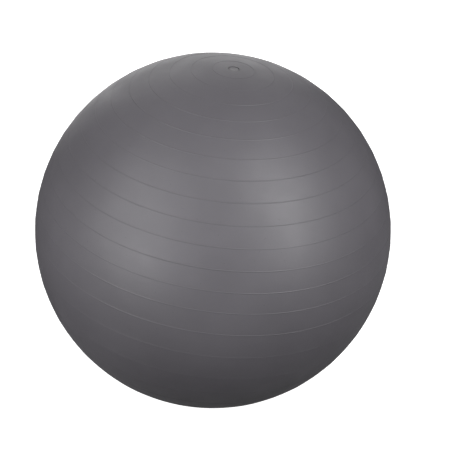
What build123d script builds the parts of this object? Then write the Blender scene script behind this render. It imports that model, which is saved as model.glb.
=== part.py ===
from build123d import *
from math import atan2, cos, degrees, hypot, radians, sin, sqrt
import os

# Exercise ball, 65 cm size: a moulded vinyl shell, the valve seat moulded into its top pole,
# and the stopper plug that closes the seat.
# Millimetres, +Z up along the moulding axis. The origin is the middle of the small flat that the
# ball's own weight presses into it where it stands, and the valve is at the opposite pole.
# Angles of ribs are colatitudes: degrees down from the valve pole, seen from the ball's centre.

# ---- ball shell ----
BALL_RADIUS = 325.0
WALL = 0.9
FLOOR_PATCH_RADIUS = 38.0

# ---- raised rib rings and the mould's parting line ----
RIB_WIDTH = 1.4
UPPER_RIB_HEIGHT = 0.35
LOWER_RIB_HEIGHT = 0.25
LAST_UPPER_RIB = 82.8
UPPER_RIB_PITCH = 6.37
UPPER_RIB_COUNT = 13
FIRST_LOWER_RIB = 98.4
LOWER_RIB_PITCH = 9.6
LOWER_RIB_COUNT = 8
PARTING_LINE = 90.0
PARTING_HEIGHT = 0.35

# ---- valve seat, depths are measured down from the ball's top pole ----
NECK_RADIUS = 14.0
FLANGE_RADIUS = 25.0
FLANGE_THICKNESS = 1.6
RECESS_RADIUS = 9.3
RECESS_DEPTH = 3.2
RECESS_LIP = 0.4
CUP_RADIUS = 12.8
CUP_DEPTH = 5.4
BARREL_TOP_RADIUS = 8.4
BARREL_END_RADIUS = 7.4
BARREL_DEPTH = 27.0
BORE_MOUTH_RADIUS = 4.7
BORE_END_RADIUS = 4.0
BORE_LEAD_IN = 0.4
BARREL_ROUNDING = 0.8

# ---- stopper plug ----
HEAD_RADIUS = 8.5
HEAD_THICKNESS = 2.4
HEAD_ROUNDING = 0.7
HEAD_UNDERCUT = 0.5
DISH_RADIUS = 5.6
DISH_DEPTH = 0.25
DISH_FLAT_RADIUS = 1.0
STEM_LENGTH = 22.0
STEM_WAIST = 0.55
FIT_CLEARANCE = 0.05
COLLAR_LENGTH = 3.0
RING_HEIGHTS = (7.0, 11.5, 16.0)
RING_WIDTH = 1.8
TIP_CHAMFER = 1.0
CORE_RADIUS = 2.1
CORE_DEPTH = 17.0

# ---- worked out from the above ----
CENTRE_Z = sqrt(BALL_RADIUS**2 - FLOOR_PATCH_RADIUS**2)
INNER_RADIUS = BALL_RADIUS - WALL
POLE_Z = CENTRE_Z + BALL_RADIUS
SEAT_FLOOR_Z = POLE_Z - RECESS_DEPTH
BARREL_END_Z = POLE_Z - BARREL_DEPTH


def on_sphere(radius, colatitude):
    """Profile point (r, z) on a sphere about the ball's centre."""
    a = radians(colatitude)
    return (radius * sin(a), CENTRE_Z + radius * cos(a))


def at_radius(radius, r):
    """Profile point (r, z) on the upper half of a sphere about the ball's centre."""
    return (r, CENTRE_Z + sqrt(radius**2 - r**2))


def colatitude(point):
    """Degrees from the valve pole to a profile point."""
    return degrees(atan2(point[0], point[1] - CENTRE_Z))


def sphere_arc(radius, start, end):
    """Arc of the profile on a sphere about the ball's centre, between two points on it."""
    middle = on_sphere(radius, (colatitude(start) + colatitude(end)) / 2)
    return ThreePointArc(start, middle, end)


def revolved(edges, label):
    """Solid of revolution about Z from a closed chain of edges drawn as (r, z)."""
    face = make_face(Plane.XZ * Wire(edges))
    solid = revolve(face, Axis.Z, 360).solid()
    solid.label = label
    return solid


def rings():
    """Every raised ring from the top down: its colatitude and height."""
    upper = [LAST_UPPER_RIB - UPPER_RIB_PITCH * i for i in reversed(range(UPPER_RIB_COUNT))]
    lower = [FIRST_LOWER_RIB + LOWER_RIB_PITCH * i for i in range(LOWER_RIB_COUNT)]
    ribs = [(angle, UPPER_RIB_HEIGHT) for angle in upper]
    ribs.append((PARTING_LINE, PARTING_HEIGHT))
    return ribs + [(angle, LOWER_RIB_HEIGHT) for angle in lower]


def make_shell():
    """The one-piece vinyl skin: ribbed sphere, flat where it stands, with the neck's hole on top."""
    neck_outer = at_radius(BALL_RADIUS, NECK_RADIUS)
    neck_inner = at_radius(INNER_RADIUS, NECK_RADIUS)
    patch_outer = (FLOOR_PATCH_RADIUS, 0)
    patch_inner = (sqrt(INNER_RADIUS**2 - (CENTRE_Z - WALL) ** 2), WALL)

    edges = []
    here = neck_outer
    half = degrees(RIB_WIDTH / 2 / BALL_RADIUS)
    for angle, height in rings():
        start = on_sphere(BALL_RADIUS, angle - half)
        crest = on_sphere(BALL_RADIUS + height, angle)
        end = on_sphere(BALL_RADIUS, angle + half)
        edges.append(sphere_arc(BALL_RADIUS, here, start))
        edges.append(ThreePointArc(start, crest, end))
        here = end
    edges.append(sphere_arc(BALL_RADIUS, here, patch_outer))
    edges.append(Line(patch_outer, (0, 0)))
    edges.append(Line((0, 0), (0, WALL)))
    edges.append(Line((0, WALL), patch_inner))
    edges.append(sphere_arc(INNER_RADIUS, patch_inner, neck_inner))
    edges.append(Line(neck_inner, neck_outer))
    return revolved(edges, "shell")


def bore_radius(z):
    """Radius of the seat's tapered bore at a height."""
    share = (SEAT_FLOOR_Z - z) / (SEAT_FLOOR_Z - BARREL_END_Z)
    return BORE_MOUTH_RADIUS + (BORE_END_RADIUS - BORE_MOUTH_RADIUS) * share


def make_valve_seat():
    """The insert fused into the shell: flush neck with a recess, flange under the wall, bored barrel."""
    flange_under = INNER_RADIUS - FLANGE_THICKNESS
    neck_outer = at_radius(BALL_RADIUS, NECK_RADIUS)
    neck_inner = at_radius(INNER_RADIUS, NECK_RADIUS)
    lip_outer = at_radius(BALL_RADIUS, RECESS_RADIUS + RECESS_LIP)
    lip_inner = (RECESS_RADIUS, lip_outer[1] - RECESS_LIP)
    rim_top = at_radius(INNER_RADIUS, FLANGE_RADIUS)
    rim_under = at_radius(flange_under, FLANGE_RADIUS)
    cup_top = at_radius(flange_under, CUP_RADIUS)
    cup_end = (CUP_RADIUS, POLE_Z - CUP_DEPTH)
    barrel_top = (BARREL_TOP_RADIUS, POLE_Z - CUP_DEPTH)
    barrel_low = (BARREL_END_RADIUS, BARREL_END_Z + BARREL_ROUNDING)
    barrel_end = (BARREL_END_RADIUS - BARREL_ROUNDING, BARREL_END_Z)
    bore_end = (BORE_END_RADIUS, BARREL_END_Z)
    bore_top = (bore_radius(SEAT_FLOOR_Z - BORE_LEAD_IN), SEAT_FLOOR_Z - BORE_LEAD_IN)
    bore_mouth = (BORE_MOUTH_RADIUS + BORE_LEAD_IN, SEAT_FLOOR_Z)
    recess_foot = (RECESS_RADIUS, SEAT_FLOOR_Z)

    edges = [
        sphere_arc(BALL_RADIUS, neck_outer, lip_outer),
        Line(lip_outer, lip_inner),
        Line(lip_inner, recess_foot),
        Line(recess_foot, bore_mouth),
        Line(bore_mouth, bore_top),
        Line(bore_top, bore_end),
        Line(bore_end, barrel_end),
        Line(barrel_end, barrel_low),
        Line(barrel_low, barrel_top),
        Line(barrel_top, cup_end),
        Line(cup_end, cup_top),
        sphere_arc(flange_under, cup_top, rim_under),
        Line(rim_under, rim_top),
        sphere_arc(INNER_RADIUS, rim_top, neck_inner),
        Line(neck_inner, neck_outer),
    ]
    return revolved(edges, "valve_seat")


def sealing_ring(depth):
    """Edges of one rounded ring on the plug's stem, from its upper edge to its lower edge."""
    middle_z = SEAT_FLOOR_Z - depth
    upper_z = middle_z + RING_WIDTH / 2
    lower_z = middle_z - RING_WIDTH / 2
    upper = (stem_radius(upper_z), upper_z)
    crest = (bore_radius(middle_z) - FIT_CLEARANCE, middle_z)
    lower = (stem_radius(lower_z), lower_z)
    return upper, crest, lower


def stem_radius(z):
    """Radius of the plug's stem between its rings: slimmer than the bore by the waist."""
    return bore_radius(z) - STEM_WAIST


def dish_point(r, head_top_z):
    """Profile point (r, z) on the shallow sphere that dishes the plug's head."""
    radius = (DISH_RADIUS**2 + DISH_DEPTH**2) / (2 * DISH_DEPTH)
    return (r, head_top_z - DISH_DEPTH + radius - sqrt(radius**2 - r**2))


def make_plug():
    """The push-in stopper: dished head, tapered stem with sealing rings, cored from its tip."""
    head_top_z = SEAT_FLOOR_Z + HEAD_THICKNESS
    tip_z = SEAT_FLOOR_Z - STEM_LENGTH
    collar_z = SEAT_FLOOR_Z - COLLAR_LENGTH
    core_top_z = tip_z + CORE_DEPTH
    dish_flat = dish_point(DISH_FLAT_RADIUS, head_top_z)
    dish_middle = dish_point((DISH_FLAT_RADIUS + DISH_RADIUS) / 2, head_top_z)
    dish_edge = (DISH_RADIUS, head_top_z)
    dish_floor = (0, dish_flat[1])
    top_corner = (HEAD_RADIUS - HEAD_ROUNDING, head_top_z)
    rounding = (
        HEAD_RADIUS - HEAD_ROUNDING * (1 - sin(radians(45))),
        head_top_z - HEAD_ROUNDING * (1 - cos(radians(45))),
    )
    side_top = (HEAD_RADIUS, head_top_z - HEAD_ROUNDING)
    side_low = (HEAD_RADIUS, SEAT_FLOOR_Z + HEAD_UNDERCUT)
    head_foot = (HEAD_RADIUS - HEAD_UNDERCUT, SEAT_FLOOR_Z)
    collar_root_z = SEAT_FLOOR_Z - BORE_LEAD_IN
    collar_root = (bore_radius(SEAT_FLOOR_Z) - FIT_CLEARANCE, SEAT_FLOOR_Z)
    collar_top = (bore_radius(collar_root_z) - FIT_CLEARANCE, collar_root_z)
    collar_end = (bore_radius(collar_z) - FIT_CLEARANCE, collar_z)
    waist_top = (stem_radius(collar_z - STEM_WAIST), collar_z - STEM_WAIST)
    tip_side = (stem_radius(tip_z), tip_z + TIP_CHAMFER)
    tip_face = (stem_radius(tip_z) - TIP_CHAMFER, tip_z)

    edges = [
        ThreePointArc(dish_flat, dish_middle, dish_edge),
        Line(dish_edge, top_corner),
        ThreePointArc(top_corner, rounding, side_top),
        Line(side_top, side_low),
        Line(side_low, head_foot),
        Line(head_foot, collar_root),
        Line(collar_root, collar_top),
        Line(collar_top, collar_end),
        Line(collar_end, waist_top),
    ]
    here = waist_top
    for depth in RING_HEIGHTS:
        upper, crest, lower = sealing_ring(depth)
        edges.append(Line(here, upper))
        edges.append(ThreePointArc(upper, crest, lower))
        here = lower
    edges += [
        Line(here, tip_side),
        Line(tip_side, tip_face),
        Line(tip_face, (CORE_RADIUS, tip_z)),
        Line((CORE_RADIUS, tip_z), (CORE_RADIUS, core_top_z)),
        Line((CORE_RADIUS, core_top_z), (0, core_top_z)),
        Line((0, core_top_z), dish_floor),
        Line(dish_floor, dish_flat),
    ]
    return revolved(edges, "plug")


def main():
    os.makedirs("parts", exist_ok=True)
    for solid in (make_shell(), make_valve_seat(), make_plug()):
        export_step(solid, f"parts/{solid.label}.step")
        box = solid.bounding_box()
        print(solid.label, "volume cm3", round(solid.volume / 1000, 2), "top", round(box.max.Z, 3))


main()
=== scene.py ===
from math import asin, cos, pi, radians, sin, sqrt

import bpy
import numpy as np
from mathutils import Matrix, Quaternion, Vector


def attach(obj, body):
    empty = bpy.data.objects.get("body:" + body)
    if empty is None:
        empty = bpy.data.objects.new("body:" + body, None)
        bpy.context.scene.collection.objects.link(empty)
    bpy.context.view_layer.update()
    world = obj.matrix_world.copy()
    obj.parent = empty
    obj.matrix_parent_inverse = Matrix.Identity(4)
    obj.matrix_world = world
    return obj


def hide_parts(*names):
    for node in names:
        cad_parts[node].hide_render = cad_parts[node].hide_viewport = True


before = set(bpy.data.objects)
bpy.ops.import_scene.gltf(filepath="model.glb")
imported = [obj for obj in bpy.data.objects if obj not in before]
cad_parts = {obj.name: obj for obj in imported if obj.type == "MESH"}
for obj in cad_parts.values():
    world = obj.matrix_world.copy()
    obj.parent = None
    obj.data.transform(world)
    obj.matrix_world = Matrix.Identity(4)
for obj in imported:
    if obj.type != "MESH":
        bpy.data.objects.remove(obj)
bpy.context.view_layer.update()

# Exercise ball. Metres, in the CAD frame: +Z runs from the small flat that the ball stands on, at
# the origin, to the stopper plug at the top pole. Angles of ribs are degrees down from that pole.

# ---- ball, as in the CAD model ----
BALL_RADIUS = 0.325
WALL = 0.0009
FLOOR_PATCH_RADIUS = 0.038
NECK_RADIUS = 0.014
CENTRE = Vector((0, 0, sqrt(BALL_RADIUS**2 - FLOOR_PATCH_RADIUS**2)))

# ---- raised rings: degrees down from the plug, and height ----
RIB_WIDTH = 0.0014
UPPER_RIBS = [(82.8 - 6.37 * i, 0.00035) for i in reversed(range(13))]
PARTING_LINE = [(90.0, 0.00035)]
LOWER_RIBS = [(98.4 + 9.6 * i, 0.00025) for i in range(8)]
RIBS = UPPER_RIBS + PARTING_LINE + LOWER_RIBS

# ---- unevenness of the blown-up skin ----
SAG = 0.00012
LEAN = radians(1.4)
LEVEL_RING = radians(63)

# ---- mesh of the skin: numbers of steps, then margins in metres and radians ----
AROUND = 240
ACROSS_RIB = 7
BETWEEN_RIBS = 4
ABOVE_PATCH = 8
ACROSS_PATCH_EDGE = 7
ON_PATCH = 4
INSIDE_STEPS = 100
RIB_MARGIN = 0.0004
PATCH_ROUNDING = 0.0003
PATCH_BAND = 0.02
SHARP_ANGLE = radians(50)

# ---- camera ----
CAMERA_DISTANCE = 7 * BALL_RADIUS
CAMERA_ELEVATION = 30.9
CAMERA_ROLL = 7.4
LENS = 96.5
SENSOR = 36.0
SHIFT = (0.0372, 0.0007)

# ---- colours and roughness of each piece ----
BALL_GREY = (0.105, 0.1, 0.111)
BALL_ROUGHNESS = 0.52
SEAT_GREY = (0.100, 0.096, 0.104)
SEAT_ROUGHNESS = 0.50
PLUG_GREY = (0.105, 0.101, 0.109)
PLUG_ROUGHNESS = 0.46

# ---- vinyl: noise cells per metre, bump heights in metres ----
BLOTCHES = 9.0
SMUDGES = 16.0
PEBBLES = 190.0
SPECKS = 260.0
GRAIN = 1400.0
GRAIN_HEIGHT = 0.00006
PEBBLE_HEIGHT = 0.00012

# ---- studio: name, angles about the camera's level in degrees, size in metres, watts ----
LIGHT_DISTANCE = 2.2
LIGHTS = [
    ("left_box", -45, 8, (1.3, 2.4), 42),
    ("right_box", 41, 12, (0.6, 2.3), 52),
    ("low_left_box", -38, -18, (0.4, 0.9), 11),
    ("floor_bounce", 170, -27, (3.0, 3.1), 7),
    ("back_panel", 190, 46, (2.2, 2.3), 28),
]
ROOM_LIGHT = 0.02
FLOOR_HALF_SIDE = 40
FLOOR_GLOW = 0.95


# ============ camera ============
def make_camera():
    """The camera of the main view, looking at the ball's middle from above its equator."""
    data = bpy.data.cameras.new("camera")
    data.lens = LENS
    data.sensor_width = SENSOR
    data.shift_x, data.shift_y = SHIFT
    camera = bpy.data.objects.new("camera", data)
    bpy.context.scene.collection.objects.link(camera)
    tilt = radians(CAMERA_ELEVATION)
    back = Vector((0, -cos(tilt), sin(tilt)))
    camera.location = CENTRE + back * CAMERA_DISTANCE
    camera.rotation_mode = "QUATERNION"
    roll = Quaternion((0, 0, 1), radians(CAMERA_ROLL))
    camera.rotation_quaternion = (-back).to_track_quat("-Z", "Y") @ roll
    bpy.context.scene.camera = camera
    bpy.context.view_layer.update()
    return camera


# ============ ball skin ============
def bump(x):
    """Half-round cross-section of a moulded ring: 1 at its middle, 0 from its edges out."""
    return np.sqrt(1 - np.clip(x, -1, 1) ** 2)


def colatitudes():
    """Where the skin's rings of vertices lie, in radians from the plug: close on the ribs, wide between."""
    angles = []
    here = asin(NECK_RADIUS / BALL_RADIUS)
    half = RIB_WIDTH / 2 / BALL_RADIUS
    edge = RIB_MARGIN / BALL_RADIUS
    for angle, _ in RIBS:
        middle = radians(angle)
        start = middle - half - edge
        angles += list(np.linspace(here, start, BETWEEN_RIBS + 1, endpoint=False))
        angles += [start] + list(np.linspace(middle - half, middle + half, ACROSS_RIB))
        here = middle + half + edge
    patch = pi - asin(FLOOR_PATCH_RADIUS / BALL_RADIUS)
    angles += list(np.linspace(here, patch - PATCH_BAND, ABOVE_PATCH, endpoint=False))
    angles += list(np.linspace(patch - PATCH_BAND, patch + PATCH_BAND, ACROSS_PATCH_EDGE))
    angles += list(np.linspace(patch + PATCH_BAND, pi, ON_PATCH)[1:])
    return np.array(angles)


def relief(theta, phi):
    """Height of the moulded rings above the smooth sphere. Each ring's height wavers a little round it."""
    raised = np.zeros(np.broadcast(theta, phi).shape)
    for index, (angle, height) in enumerate(RIBS):
        waver = 0.92 + 0.05 * np.sin(2 * phi + 1.7 * index) + 0.03 * np.sin(5 * phi + 2.9 * index)
        across = (theta - radians(angle)) * BALL_RADIUS / (RIB_WIDTH / 2)
        raised = raised + height * waver * bump(across)
    return raised


def lean(theta, phi):
    """How far the uneven stretch of the skin carries its rings down on one side and up on the other."""
    held_at_poles = 1 - np.cos(theta) ** 6
    return LEAN * np.sin(2 * (theta - LEVEL_RING)) * held_at_poles * np.cos(phi)


def sag(theta, phi):
    """Slow unevenness of the blown-up skin, a few tenths of a millimetre over a hand's breadth."""
    slow = np.sin(3 * theta + 0.6) * np.sin(2 * phi + 0.4) + 0.7 * np.sin(5 * theta) * np.sin(3 * phi + 2.1)
    fine = 0.35 * np.sin(9 * theta + 1.3) * np.sin(6 * phi + 0.8)
    return SAG * np.sin(theta) ** 2 * (slow + fine)


def above_floor(z):
    """Rounds the skin off into the flat that it stands on, instead of letting it pass under z = 0."""
    return 0.5 * (z + np.sqrt(z * z + PATCH_ROUNDING**2))


def skin_points():
    """Vertex grid of the skin, and how much of a ring's crest each vertex is, which is the mask of the
    painted shade on the crests.
    """
    phi = np.linspace(0, 2 * pi, AROUND, endpoint=False)[None, :]
    theta = colatitudes()[:, None]
    raised = relief(theta, phi)
    radius = BALL_RADIUS + raised + sag(theta, phi)
    theta = theta + lean(theta, phi)
    z = above_floor(CENTRE.z + radius * np.cos(theta))
    outer = np.stack([radius * np.sin(theta) * np.cos(phi), radius * np.sin(theta) * np.sin(phi), z], -1)
    # How much of a rib's crest each vertex is: the mask of the painted shade on the crests.
    crest_shade = np.clip(raised / UPPER_RIBS[0][1], 0, 1)

    inner_radius = BALL_RADIUS - WALL
    theta = np.linspace(asin(NECK_RADIUS / inner_radius), pi, INSIDE_STEPS)[:, None]
    ring = np.sin(theta) * inner_radius
    z = np.maximum(CENTRE.z + inner_radius * np.cos(theta), WALL) + 0 * phi
    inner = np.stack([ring * np.cos(phi), ring * np.sin(phi), z], -1)
    return outer, inner, crest_shade


def grid_faces(rows, columns, start, flip):
    """Quads of a grid of vertices that closes on itself sideways."""
    faces = []
    for i in range(rows - 1):
        for j in range(columns):
            k = (j + 1) % columns
            quad = (start + i * columns + j, start + (i + 1) * columns + j,
                    start + (i + 1) * columns + k, start + i * columns + k)
            faces.append(quad[::-1] if flip else quad)
    return faces


def make_skin():
    """The vinyl skin as one closed shell: ribbed outside, plain inside, open at the neck of the valve."""
    outer, inner, crest_shade = skin_points()
    rows_out, rows_in = outer.shape[0] - 1, inner.shape[0] - 1
    points = np.concatenate([outer[:-1].reshape(-1, 3), inner[:-1].reshape(-1, 3)])
    first_in = rows_out * AROUND
    faces = grid_faces(rows_out, AROUND, 0, False) + grid_faces(rows_in, AROUND, first_in, True)
    bottom_out = len(points)
    bottom_in = bottom_out + 1
    points = np.concatenate([points, outer[-1:, 0], inner[-1:, 0]])
    last_out = (rows_out - 1) * AROUND
    last_in = first_in + (rows_in - 1) * AROUND
    for j in range(AROUND):
        k = (j + 1) % AROUND
        faces.append((last_out + j, bottom_out, last_out + k))
        faces.append((last_in + k, bottom_in, last_in + j))
        faces.append((j, k, first_in + k, first_in + j))
    mesh = bpy.data.meshes.new("ball_skin")
    mesh.from_pydata(points.tolist(), [], faces)
    mesh.update()
    # Per-vertex mask of the painted shade on the rib crests.
    weight = mesh.attributes.new("crest_shade", "FLOAT", "POINT")
    values = np.zeros(len(points), np.float32)
    values[:rows_out * AROUND] = crest_shade[:-1].ravel()
    weight.data.foreach_set("value", values)
    mesh.shade_smooth()
    mesh.set_sharp_from_angle(angle=SHARP_ANGLE)
    skin = bpy.data.objects.new("ball_skin", mesh)
    bpy.context.scene.collection.objects.link(skin)
    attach(skin, "ball")
    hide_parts("shell")
    return skin


# ============ materials ============
def new_material(name):
    """An empty node material with its Principled shader."""
    material = bpy.data.materials.new(name)
    material.use_nodes = True
    return material, material.node_tree, material.node_tree.nodes["Principled BSDF"]


def node(tree, kind, **inputs):
    """A node with its named inputs set to values or linked to other nodes' sockets."""
    made = tree.nodes.new(kind)
    for name, value in inputs.items():
        socket = made.inputs[name.replace("_", " ")]
        if isinstance(value, bpy.types.NodeSocket):
            tree.links.new(value, socket)
        else:
            socket.default_value = value
    return made


def noise(tree, coords, scale, detail=3.0, rough=0.5):
    """Grey noise at a number of cells per metre."""
    made = node(tree, "ShaderNodeTexNoise", Vector=coords, Scale=scale, Detail=detail, Roughness=rough)
    return made.outputs["Fac"]


def ranged(tree, value, low, high, to_low, to_high):
    """A value carried from one range to another, and held at its ends."""
    made = tree.nodes.new("ShaderNodeMapRange")
    tree.links.new(value, made.inputs[0])
    for index, number in enumerate((low, high, to_low, to_high), 1):
        made.inputs[index].default_value = number
    return made.outputs[0]


def mixed(tree, share, first, second):
    """A colour between two, by share."""
    made = tree.nodes.new("ShaderNodeMix")
    made.data_type = "RGBA"
    tree.links.new(share, made.inputs[0])
    for socket, value in ((made.inputs[6], first), (made.inputs[7], second)):
        if isinstance(value, bpy.types.NodeSocket):
            tree.links.new(value, socket)
        else:
            socket.default_value = (*value, 1)
    return made.outputs[2]


def bumped(tree, height, distance, strength=1.0, normal=None):
    """A bump of a height that is given in metres."""
    made = node(tree, "ShaderNodeBump", Height=height, Distance=distance, Strength=strength)
    if normal is not None:
        tree.links.new(normal, made.inputs["Normal"])
    return made.outputs[0]


def shade(colour, factor):
    """A colour made darker or lighter."""
    return [channel * factor for channel in colour]


def vinyl(name, colour, roughness, crest_shade=False):
    """Soft grey vinyl: satin, with fine grain, faint blotches and specks, and on the skin painted shade
    along the rib crests.
    """
    material, tree, shader = new_material(name)
    coords = node(tree, "ShaderNodeTexCoord").outputs["Object"]
    blotch = noise(tree, coords, BLOTCHES, 4.0, 0.55)
    grain = noise(tree, coords, GRAIN, 2.0)
    specks = noise(tree, coords, SPECKS, 1.0)
    base = mixed(tree, ranged(tree, blotch, 0.3, 0.7, 0, 1), shade(colour, 0.93), shade(colour, 1.07))
    base = mixed(tree, ranged(tree, grain, 0.35, 0.65, 0, 0.3), base, shade(colour, 0.9))
    base = mixed(tree, ranged(tree, specks, 0.76, 0.8, 0, 0.5), base, shade(colour, 0.55))
    # Painted shade: the rib crests are darkened to draw the dark lines that the ribs show where they turn a
    # highlight away.
    if crest_shade:
        shade_on_rib = node(tree, "ShaderNodeAttribute")
        shade_on_rib.attribute_name = "crest_shade"
        share = node(tree, "ShaderNodeMath", Value=shade_on_rib.outputs["Fac"])
        share.operation = "MULTIPLY"
        tree.links.new(ranged(tree, blotch, 0.35, 0.65, 0.6, 1.0), share.inputs[1])
        base = mixed(tree, share.outputs[0], base, shade(colour, 0.85))
    tree.links.new(base, shader.inputs["Base Color"])
    smudge = noise(tree, coords, SMUDGES, 5.0, 0.6)
    gloss = ranged(tree, smudge, 0.3, 0.7, roughness - 0.05, roughness + 0.06)
    tree.links.new(gloss, shader.inputs["Roughness"])
    normal = bumped(tree, grain, GRAIN_HEIGHT)
    normal = bumped(tree, noise(tree, coords, PEBBLES, 2.0), PEBBLE_HEIGHT, 0.6, normal)
    tree.links.new(normal, shader.inputs["Normal"])
    return material


def use(thing, material):
    """Puts one material on a piece or CAD node."""
    thing.data.materials.clear()
    thing.data.materials.append(material)


# ============ studio ============
def make_floor():
    """A plain pale floor, which gives no light back to the ball."""
    mesh = bpy.data.meshes.new("floor")
    side = FLOOR_HALF_SIDE
    corners = [(-side, -side, 0), (side, -side, 0), (side, side, 0), (-side, side, 0)]
    mesh.from_pydata(corners, [], [(0, 1, 2, 3)])
    floor = bpy.data.objects.new("floor", mesh)
    bpy.context.scene.collection.objects.link(floor)
    material, tree, shader = new_material("floor")
    shader.inputs["Base Color"].default_value = (0.8, 0.8, 0.8, 1)
    shader.inputs["Roughness"].default_value = 0.9
    shader.inputs["Emission Color"].default_value = (1, 1, 1, 1)
    shader.inputs["Emission Strength"].default_value = FLOOR_GLOW
    mesh.materials.append(material)
    floor.visible_diffuse = False
    floor.visible_glossy = False


def studio_light(camera, name, azimuth, elevation, size, power):
    """A soft box that faces the ball, placed by angles about the camera's own level."""
    a, e = radians(azimuth), radians(elevation)
    offset = Vector((sin(a) * cos(e), sin(e), cos(a) * cos(e)))
    data = bpy.data.lights.new(name, "AREA")
    data.shape = "RECTANGLE"
    data.size, data.size_y = size
    data.energy = power
    light = bpy.data.objects.new(name, data)
    bpy.context.scene.collection.objects.link(light)
    light.location = CENTRE + camera.matrix_world.to_3x3() @ offset * LIGHT_DISTANCE
    light.rotation_mode = "QUATERNION"
    light.rotation_quaternion = (CENTRE - light.location).to_track_quat("-Z", "Y")


def make_studio(camera):
    """Tall soft boxes left and right of the camera, a small low one, a panel behind, and a dim room.

    Bounced rays don't see the floor, so floor_bounce hangs under it and gives the light that it would.
    """
    for name, azimuth, elevation, size, power in LIGHTS:
        studio_light(camera, name, azimuth, elevation, size, power)
    world = bpy.data.worlds.new("studio")
    bpy.context.scene.world = world
    world.use_nodes = True
    tree = world.node_tree
    dim = tree.nodes["Background"]
    dim.inputs["Color"].default_value = (1, 1, 1, 1)
    dim.inputs["Strength"].default_value = ROOM_LIGHT
    bright = tree.nodes.new("ShaderNodeBackground")
    bright.inputs["Color"].default_value = (1, 1, 1, 1)
    path = tree.nodes.new("ShaderNodeLightPath")
    mix = tree.nodes.new("ShaderNodeMixShader")
    tree.links.new(path.outputs["Is Camera Ray"], mix.inputs[0])
    tree.links.new(dim.outputs[0], mix.inputs[1])
    tree.links.new(bright.outputs[0], mix.inputs[2])
    tree.links.new(mix.outputs[0], tree.nodes["World Output"].inputs[0])
    bpy.context.scene.view_settings.view_transform = "Standard"


camera = make_camera()
skin = make_skin()
use(skin, vinyl("ball_vinyl", BALL_GREY, BALL_ROUGHNESS, crest_shade=True))
use(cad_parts["valve_seat"], vinyl("seat_vinyl", SEAT_GREY, SEAT_ROUGHNESS))
use(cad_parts["plug"], vinyl("plug_plastic", PLUG_GREY, PLUG_ROUGHNESS))
make_floor()
make_studio(camera)
